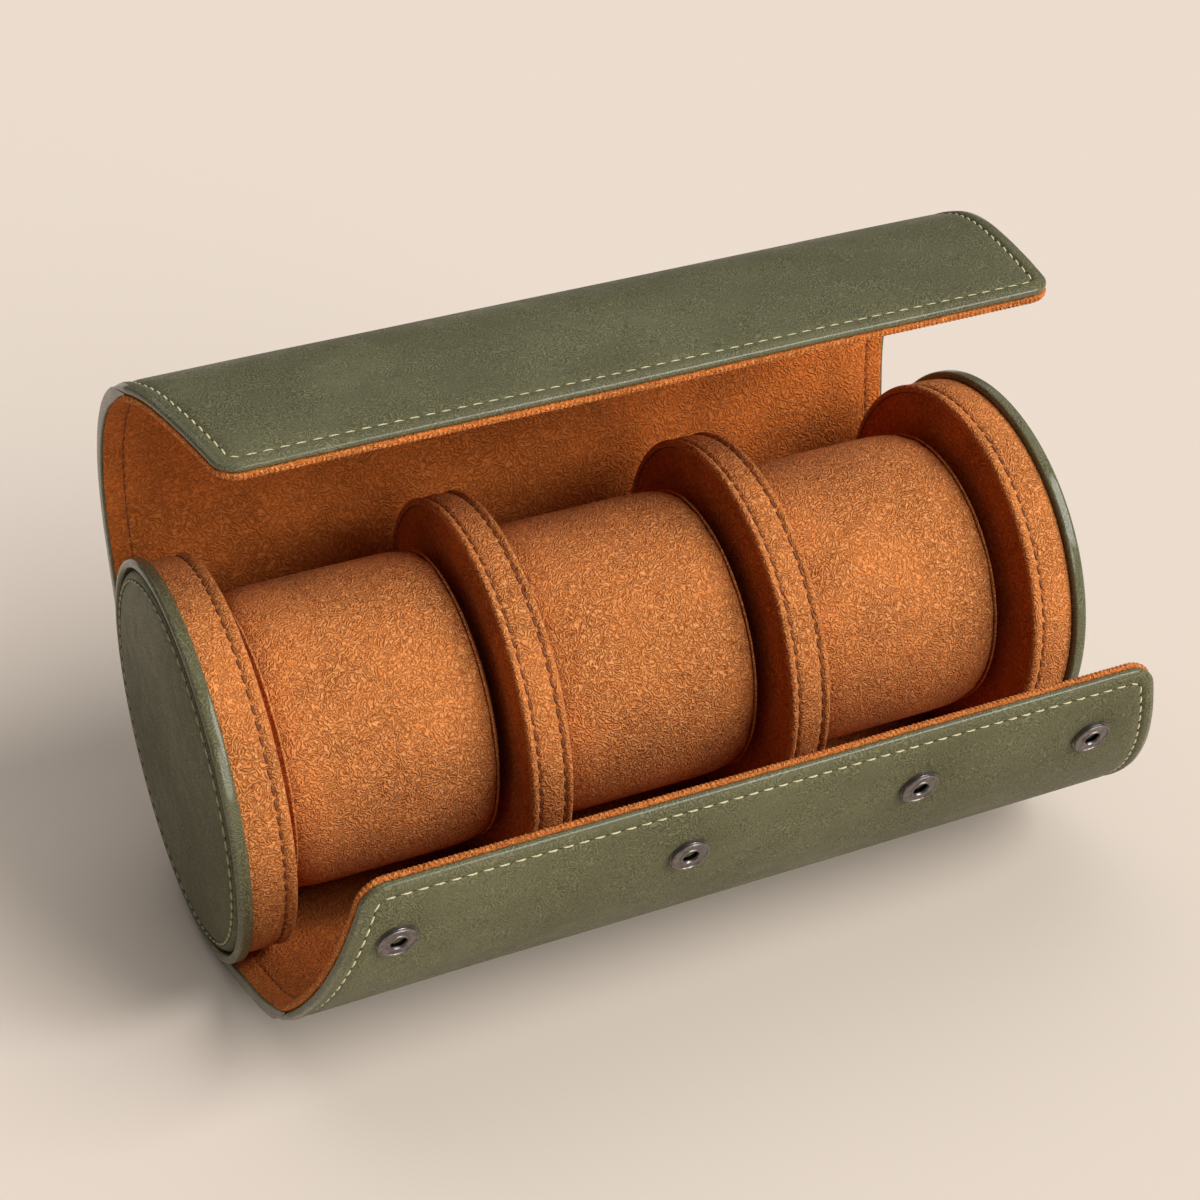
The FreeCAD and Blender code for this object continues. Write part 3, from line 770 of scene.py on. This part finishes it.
def turned(profile, closed, steps=160, centre=AXIS):
    """A body of revolution about the discs' axis, from (place along X, radius, rounding) points."""
    shape = bmesh.new()
    verts = [shape.verts.new((x, centre.y, centre.z + radius)) for x, radius, rounding in profile]
    edges = [shape.edges.new(pair) for pair in zip(verts, verts[1:])]
    if closed:
        edges.append(shape.edges.new((verts[-1], verts[0])))
    bmesh.ops.spin(
        shape, geom=verts + edges, cent=centre, axis=(1, 0, 0), angle=2 * math.pi, steps=steps, use_merge=True,
        use_duplicate=False)
    bmesh.ops.remove_doubles(shape, verts=shape.verts, dist=TINY)
    bmesh.ops.recalc_face_normals(shape, faces=shape.faces)
    for x, radius, rounding in profile:
        if rounding:
            ring = [
                edge for edge in shape.edges
                if all(abs(vert.co.x - x) < TINY and abs(
                    math.hypot(vert.co.y - centre.y, vert.co.z - centre.z) - radius) < TINY for vert in edge.verts)
            ]
            bmesh.ops.bevel(
                shape, geom=ring, offset=rounding, affect="EDGES", segments=4, profile=0.5, material=-1,
                clamp_overlap=True)
    return shape


def set_out(profile, origin, way):
    """A profile in millimetres, measured inward from a disc's face, set out along X."""
    return [(origin - way * x * MM, radius * MM, rounding * MM) for x, radius, rounding in profile]


def ring_of_stitches(x, radius, up_along_x, holes=False):
    """Stitches, or the dark ellipsoids between them that stand as painted shade in the needle holes, round a disc: on
    its band or, with up_along_x, on its face.
    """
    shape = bmesh.new()
    up = Vector((up_along_x, 0, 0)) if up_along_x else Vector((0, 0, 1))
    along = Vector((0, 1, 0))
    count = int(2 * math.pi * radius / sizes().stitch_pitch)
    if holes:
        strand(shape, AXIS + Vector((x, 0, radius)), along, up, HOLE)
        bmesh.ops.rotate(
            shape, verts=shape.verts, cent=AXIS, matrix=Matrix.Rotation(math.pi / count, 3, "X"))
    else:
        stitch(shape, AXIS + Vector((x, 0, radius)), along, up)
    bmesh.ops.spin(
        shape, geom=shape.verts[:] + shape.edges[:] + shape.faces[:], cent=AXIS, axis=(1, 0, 0),
        angle=2 * math.pi * (count - 1) / count, steps=count - 1, use_duplicate=True)
    return shape


# Profiles of the discs: depth from the outer face, radius and rounding, in millimetres
CAP_OUT = -CAP_LOW[0]
CAP_FACE = (
    (-0.5, 0.0, 0), (-0.49, 16.0, 0), (-0.45, 26.0, 0), (-0.36, 34.0, 0), (-0.22, 38.5, 0), (-0.05, 40.8, 0),
    (0.36, 41.9, 0.4), (0.15, 42.7, 0.3), (0.8, 43.6, 0.4), (1.7, 44.2, 0.3), (2.9, 44.2, 0), (2.9, 0.0, 0),
)
CAP_RIM = ((0.2, 44.6, 0.9), (0.2, 46.8, 1.0), (3.4, 46.8, 0.7), (3.4, 44.6, 0))
CAP_BAND = (
    (3.4, 43.8, 0), (3.4, 45.1, 0.4), (7.0, 45.35, 0), (10.6, 45.2, 0.4), (11.25, 44.65, 0.35), (11.8, 45.2, 0.3),
    (12.9, 45.6, 0.6), (14.0, 45.0, 0.6), (14.0, 43.8, 0.3),
)
CAP_LINING = (
    (12.6, 0.0, 0), (12.6, 43.7, 0), (13.75, 43.7, 0.5), (13.35, 41.6, 0.4), (13.8, 40.2, 0.6), (14.0, 30.0, 0),
    (14.0, 0.0, 0),
)
CAP_SEAM = (0.05, 41.9)
# Where the dark ellipsoids of painted shade sit in the face's needle holes
CAP_HOLES = (0.2, 41.9)
CAP_BAND_SEAM = (11.25, 44.9)


class WATCHROLL_OT_end_caps(Operator):
    """Turns the end caps: leather face and rolled rim, suede band with its welt, suede inside"""
    bl_idname = "watch_roll.end_caps"
    bl_label = "End caps"

    def execute(self, context):
        for side, way in SIDES:
            origin = way * CAP_OUT
            for part, profile, closed, kind in (
                ("face", CAP_FACE, False, "leather"), ("rim", CAP_RIM, True, "edge"),
                # The cap's inside takes the lining suede, whose darker, deeper colour is painted shade
                ("band", CAP_BAND, True, "suede"), ("lining", CAP_LINING, False, "lining"),
            ):
                shape = turned(set_out(profile, origin, way), closed)
                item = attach(piece(f"{side}_cap_{part}_cover", shape, kind), "case")
                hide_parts(f"{side}_cap_{part}", *([f"{side}_cap_core"] if part == "face" else []))
            for part, (depth, radius), face, kind, holes in (
                # The face's stitches take the cream thread darkened as painted shade
                ("face_thread", CAP_SEAM, way, "cap_thread", False),
                ("band_thread", CAP_BAND_SEAM, 0, "dark_thread", False),
                ("face_holes", CAP_HOLES, way, "needle_hole", True),
            ):
                shape = ring_of_stitches(origin - way * depth * MM, radius * MM, face, holes)
                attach(piece(f"{side}_cap_{part}", shape, kind), "case")
        return {"FINISHED"}


DIVIDER_BAND = (
    (0.0, 43.8, 0.3), (0.0, 45.0, 0.5), (0.8, 45.6, 0.5), (1.5, 45.2, 0.25), (2.0, 44.6, 0.3), (2.6, 45.2, 0.4),
    (5.0, 45.4, 0), (7.4, 45.2, 0.4), (8.0, 44.6, 0.3), (8.5, 45.2, 0.25), (9.2, 45.6, 0.5), (10.0, 45.0, 0.5),
    (10.0, 43.8, 0.3),
)
DIVIDER_FACE = (
    (1.8, 0.0, 0), (1.8, 43.7, 0), (0.3, 43.7, 0.5), (0.7, 41.6, 0.4), (0.25, 40.2, 0.6), (0.3, 30.0, 0),
    (0.35, 0.0, 0),
)
DIVIDER_SEAM = (2.0, 44.85)


class WATCHROLL_OT_dividers(Operator):
    """Turns the two dividers: a suede band with a welt and a seam at each edge, and their faces"""
    bl_idname = "watch_roll.dividers"
    bl_label = "Dividers"

    def execute(self, context):
        for side, way in SIDES:
            low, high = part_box(f"{side}_divider_band")
            outer, inner = (low[0], high[0]) if way < 0 else (high[0], low[0])
            band = turned(set_out(DIVIDER_BAND, outer, way), True)
            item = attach(piece(f"{side}_divider_band_cover", band, "suede"), "case")
            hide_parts(f"{side}_divider_band", f"{side}_divider_core")
            for part, origin, facing in (("outer_face", outer, way), ("inner_face", inner, -way)):
                shape = turned(set_out(DIVIDER_FACE, origin, facing), False)
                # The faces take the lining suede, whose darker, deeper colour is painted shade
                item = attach(piece(f"{side}_divider_{part}_cover", shape, "lining"), "case")
                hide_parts(f"{side}_divider_{part}")
                depth, radius = DIVIDER_SEAM
                seam = ring_of_stitches(origin - facing * depth * MM, radius * MM, 0)
                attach(piece(f"{side}_divider_{part}_thread", seam, "dark_thread"), "case")
        return {"FINISHED"}


SEAM_DEPTH = 3.2 * MM
SEAM_DROP = 2.0 * MM
SEAM_BEAD = 0.3 * MM
HELD_REACH = 1.6 * MM
STUFFING_ROOM = 0.8 * MM
STUFFING_LIMIT = 1.6 * MM
CLOTH_STEP = 2.6 * MM
STUFFING_FRAMES = 20
PILLOW_TURN = 2.1


def pillow_blank(half):
    """A pillow before it is stuffed: a sleeve drawn in at its end seams, and two end discs."""
    crown = (sizes().pillow_radius - STUFFING_ROOM) / MM
    seam = (sizes().pillow_radius - SEAM_DROP) / MM
    reach = half / MM
    end = reach - SEAM_DEPTH / MM
    right = (
        (0.0, crown), (end - 12, crown), (end - 5, crown - 0.1), (end - 1.6, seam + 0.4), (end, seam),
        (end + 1.4, seam - 1.6), (reach - 0.8, seam - 5), (reach - 0.5, 18.0), (reach - 0.5, 0.0),
    )
    profile = [(-x, radius) for x, radius in reversed(right)] + list(right[1:])
    return turned([(x * MM, radius * MM, 0) for x, radius in profile], False, steps=72, centre=Vector((0, 0, 0)))


def stuffed(mesh, half):
    """Fills a pillow by cloth simulation, held at its end seams. Returns the new mesh."""
    scene = bpy.context.scene
    blank = bpy.data.objects.new("pillow_blank", mesh)
    scene.collection.objects.link(blank)
    remesh = blank.modifiers.new("Even cloth", "REMESH")
    remesh.mode = "VOXEL"
    remesh.voxel_size = CLOTH_STEP
    even = bpy.data.meshes.new_from_object(blank.evaluated_get(bpy.context.evaluated_depsgraph_get()))
    blank.modifiers.remove(remesh)
    blank.data = even
    start = [vert.co.copy() for vert in even.vertices]
    held = blank.vertex_groups.new(name="Seams")
    for vert in even.vertices:
        if abs(abs(vert.co.x) - (half - SEAM_DEPTH)) < HELD_REACH:
            held.add([vert.index], 1.0, "REPLACE")
    cloth = blank.modifiers.new("Stuffing", "CLOTH")
    cloth.settings.use_pressure = True
    cloth.settings.uniform_pressure_force = 4.0
    cloth.settings.vertex_group_mass = "Seams"
    cloth.settings.effector_weights.gravity = 0.0
    cloth.settings.tension_stiffness = 40.0
    cloth.settings.compression_stiffness = 40.0
    cloth.settings.shear_stiffness = 20.0
    cloth.settings.bending_stiffness = 4.0
    cloth.point_cache.frame_start = 1
    cloth.point_cache.frame_end = STUFFING_FRAMES
    for number in range(1, STUFFING_FRAMES + 1):
        scene.frame_set(number)
    full = bpy.data.meshes.new_from_object(blank.evaluated_get(bpy.context.evaluated_depsgraph_get()))
    scene.frame_set(1)
    for vert, before in zip(full.vertices, start):
        move = vert.co - before
        if move.length > STUFFING_LIMIT:
            vert.co = before + move * (STUFFING_LIMIT / move.length)
    bpy.data.objects.remove(blank)
    return full


class WATCHROLL_OT_pillows(Operator):
    """Stuffs the watch pillows and sews their end seams"""
    bl_idname = "watch_roll.pillows"
    bl_label = "Pillows"

    def execute(self, context):
        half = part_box("middle_pillow_end_right")[1][0]
        blank = pillow_blank(half)
        mesh = bpy.data.meshes.new("pillow_blank")
        blank.to_mesh(mesh)
        blank.free()
        mesh = stuffed(mesh, half)
        for index, word in enumerate(("left", "middle", "right")):
            node_low, node_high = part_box(f"{word}_pillow_sleeve")
            centre = AXIS + Vector(((node_low[0] + node_high[0]) / 2, 0, 0))
            shape = bmesh.new()
            shape.from_mesh(mesh)
            bmesh.ops.smooth_vert(
                shape, verts=shape.verts, factor=0.5, use_axis_x=True, use_axis_y=True, use_axis_z=True)
            for vert in shape.verts:
                across = math.hypot(vert.co.y, vert.co.z)
                if across > sizes().pillow_radius:
                    vert.co.yz = vert.co.yz * (sizes().pillow_radius / across)
                vert.co.x = min(max(vert.co.x, -half), half)
            bmesh.ops.rotate(shape, verts=shape.verts, matrix=Matrix.Rotation(PILLOW_TURN * index, 3, "X"))
            bmesh.ops.translate(shape, verts=shape.verts, vec=centre)
            item = piece(f"{word}_pillow_cover", shape, "suede", sharp=80)
            finer = item.modifiers.new("Finer cloth", "SUBSURF")
            finer.levels = finer.render_levels = 1
            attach(item, f"{word}_pillow")
            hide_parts(*(f"{word}_pillow_{part}" for part in ("sleeve", "end_left", "end_right", "core")))
            seams = bmesh.new()
            for way in (-1, 1):
                place = centre + Vector((way * (half - SEAM_DEPTH), 0, 0))
                hoop = bmesh.ops.create_circle(
                    seams, segments=8, radius=SEAM_BEAD,
                    matrix=Matrix.Translation(place + Vector((0, 0, sizes().pillow_radius - SEAM_DROP)))
                    @ Matrix.Rotation(math.pi / 2, 4, "X"))
                ring = {edge for vert in hoop["verts"] for edge in vert.link_edges}
                bmesh.ops.spin(
                    seams, geom=hoop["verts"] + list(ring), cent=centre, axis=(1, 0, 0), angle=2 * math.pi, steps=120,
                    use_merge=True, use_duplicate=False)
            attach(piece(f"{word}_pillow_seams", seams, "suede"), f"{word}_pillow")
        return {"FINISHED"}


# Profiles of the press studs: radius and height over the leather or suede, in millimetres
STUD_BASE = 1.5 * MM
SOCKET_PROFILE = (
    (1.75, -0.6), (1.75, 0.75), (1.95, 1.1), (2.3, 1.1), (2.45, 0.92), (3.75, 0.92), (3.9, 1.12), (4.2, 1.12),
    (4.4, 0.9), (4.4, 0.65), (4.05, 0.45), (4.1, 0.3), (4.45, 0.15), (4.45, -0.6),
)
# The socket's well, finished near black as painted shade
WELL_PROFILE = ((0.0, -2.3), (1.55, -2.3), (1.7, 0.6))
STUD_PROFILE = (
    (0.0, 1.2), (0.9, 1.15), (1.4, 0.9), (1.5, 0.65), (1.3, 0.4), (1.6, 0.3), (3.4, 0.36), (3.9, 0.3), (4.2, 0.0),
    (4.2, -0.6),
)
BACK_PROFILE = ((0.0, 0.42), (2.6, 0.4), (3.6, 0.3), (4.0, 0.0), (4.0, -0.6))


def studs_row(profile, run, side):
    """A row of turned metal parts on the outside or the inside of the wall."""
    shape = bmesh.new()
    y, z, heading = wall_frame(run)
    out = Vector((0, math.sin(heading), -math.cos(heading))) * side
    frame_axes = Matrix((Vector((1, 0, 0)), out.cross(Vector((1, 0, 0))), out)).transposed().to_4x4()
    for x, place in stud_centres(run):
        verts = [shape.verts.new((radius * MM, 0, height * MM)) for radius, height in profile]
        edges = [shape.edges.new(pair) for pair in zip(verts, verts[1:])]
        bmesh.ops.spin(
            shape, geom=verts + edges, cent=(0, 0, 0), axis=(0, 0, 1), angle=2 * math.pi, steps=64, use_merge=True,
            use_duplicate=False)
        fresh = [vert for vert in shape.verts if not vert.tag]
        bmesh.ops.transform(
            shape, verts=fresh, matrix=Matrix.Translation(Vector((x, y, z)) + out * STUD_BASE) @ frame_axes)
        for vert in fresh:
            vert.tag = True
    bmesh.ops.remove_doubles(shape, verts=shape.verts, dist=TINY)
    return shape


class WATCHROLL_OT_press_studs(Operator):
    """Turns the press studs: sockets on the front flap, studs under the cover's lip"""
    bl_idname = "watch_roll.press_studs"
    bl_label = "Press studs"

    def execute(self, context):
        for name, profile, kind, run, side, body, nodes in (
            ("stud_sockets", SOCKET_PROFILE, "metal", SOCKETS_AT, 1, "front_flap", ("snap_sockets",)),
            ("stud_wells", WELL_PROFILE, "dark_metal", SOCKETS_AT, 1, "front_flap", ()),
            ("stud_socket_backs", BACK_PROFILE, "metal", SOCKETS_AT, -1, "front_flap", ("snap_socket_backs",)),
            ("stud_pins", STUD_PROFILE, "metal", STUDS_AT, -1, "cover_lip", ("snap_studs", "snap_stud_backs")),
        ):
            item = piece(name, studs_row(profile, run, side), kind, sharp=35)
            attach(item, body)
            if nodes:
                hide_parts(*nodes)
        return {"FINISHED"}


CAMERA_AT = Vector((-0.20318, -0.48105, 0.35946))
CAMERA_AIM = Vector((-0.00005, -0.0012, 0.06395))
CAMERA_ROLL = math.radians(2.42)
FOCAL_PIXELS = 2543.5
IMAGE_PIXELS = 1200.0


# Name, place, aim, spread in degrees, strength and colour
LAMPS = (
    ("Key", (3.4, -3.7, 3.7), (0, 0, 0.05), 38.0, 3.15, (1.0, 0.985, 0.96)),
    ("Fill", (0.5, -2.5, 1.0), (0, 0, 0.08), 29.0, 1.08, (1.0, 0.97, 0.93)),
    ("Top", (0.5, 1.3, 3.0), (0, 0, 0.1), 80.0, 0.75, (1.0, 0.985, 0.96)),
)
BACKDROP = (1.0, 0.93, 0.85, 1.0)
BACKDROP_STRENGTH = 0.15
FLOOR_REACH = 12.0


def far_lamp(name, place, aim, spread, strength, colour):
    """A large soft lamp so far off that the floor is lit alike all over."""
    lamp = bpy.data.lights.new(name, "SUN")
    lamp.angle = math.radians(spread)
    lamp.energy = strength
    lamp.color = colour
    item = bpy.data.objects.new(name, lamp)
    item.location = place
    item.rotation_euler = (Vector(aim) - Vector(place)).to_track_quat("-Z", "Y").to_euler()
    bpy.context.scene.collection.objects.link(item)


class WATCHROLL_OT_stage(Operator):
    """Lays the floor, hangs the lamps and sets up the camera"""
    bl_idname = "watch_roll.stage"
    bl_label = "Stage"

    def execute(self, context):
        scene = context.scene
        floor = bmesh.new()
        bmesh.ops.create_grid(floor, x_segments=1, y_segments=1, size=FLOOR_REACH)
        mesh = bpy.data.meshes.new("floor")
        floor.to_mesh(mesh)
        floor.free()
        finish = Finish("Pale floor", Roughness=1.0, Specular_IOR_Level=0.0)
        finish.shader.inputs["Base Color"].default_value = (*colours().floor, 1.0)
        mesh.materials.append(finish.material)
        item = bpy.data.objects.new("floor", mesh)
        scene.collection.objects.link(item)

        world = bpy.data.worlds.new("Studio")
        world.use_nodes = True
        backdrop = world.node_tree.nodes["Background"]
        backdrop.inputs["Color"].default_value = BACKDROP
        backdrop.inputs["Strength"].default_value = BACKDROP_STRENGTH
        scene.world = world
        for lamp in LAMPS:
            far_lamp(*lamp)

        camera = bpy.data.cameras.new("Camera")
        camera.sensor_width = 36.0
        camera.lens = camera.sensor_width * FOCAL_PIXELS / IMAGE_PIXELS
        item = bpy.data.objects.new("Camera", camera)
        item.location = CAMERA_AT
        aim = (CAMERA_AIM - CAMERA_AT).to_track_quat("-Z", "Y").to_matrix()
        item.rotation_euler = (aim @ Matrix.Rotation(-CAMERA_ROLL, 3, "Z")).to_euler()
        scene.collection.objects.link(item)
        scene.camera = item
        scene.view_settings.view_transform = "Standard"
        return {"FINISHED"}


OPERATORS = (
    WATCHROLL_OT_leather, WATCHROLL_OT_lining, WATCHROLL_OT_end_caps, WATCHROLL_OT_dividers, WATCHROLL_OT_pillows,
    WATCHROLL_OT_press_studs, WATCHROLL_OT_stage,
)


class WATCHROLL_PT_sidebar(Panel):
    """Sizes, colours and pieces of the watch roll"""
    bl_label = "Watch Roll"
    bl_space_type = "VIEW_3D"
    bl_region_type = "UI"
    bl_category = "Watch Roll"

    def draw(self, context):
        for group in (context.scene.watch_roll_sizes, context.scene.watch_roll_colours):
            for key in group.bl_rna.properties.keys():
                if key not in ("rna_type", "name"):
                    self.layout.prop(group, key)
        for operator in OPERATORS:
            self.layout.operator(operator.bl_idname)


CLASSES = (RollSizes, RollColours, *OPERATORS, WATCHROLL_PT_sidebar)


def register():
    for item in CLASSES:
        bpy.utils.register_class(item)
    bpy.types.Scene.watch_roll_sizes = PointerProperty(type=RollSizes)
    bpy.types.Scene.watch_roll_colours = PointerProperty(type=RollColours)


def unregister():
    del bpy.types.Scene.watch_roll_colours
    del bpy.types.Scene.watch_roll_sizes
    for item in reversed(CLASSES):
        bpy.utils.unregister_class(item)


def main():
    register()
    bpy.ops.watch_roll.leather()
    bpy.ops.watch_roll.lining()
    bpy.ops.watch_roll.end_caps()
    bpy.ops.watch_roll.dividers()
    bpy.ops.watch_roll.pillows()
    bpy.ops.watch_roll.press_studs()
    bpy.ops.watch_roll.stage()


if __name__ == "__main__":
    main()
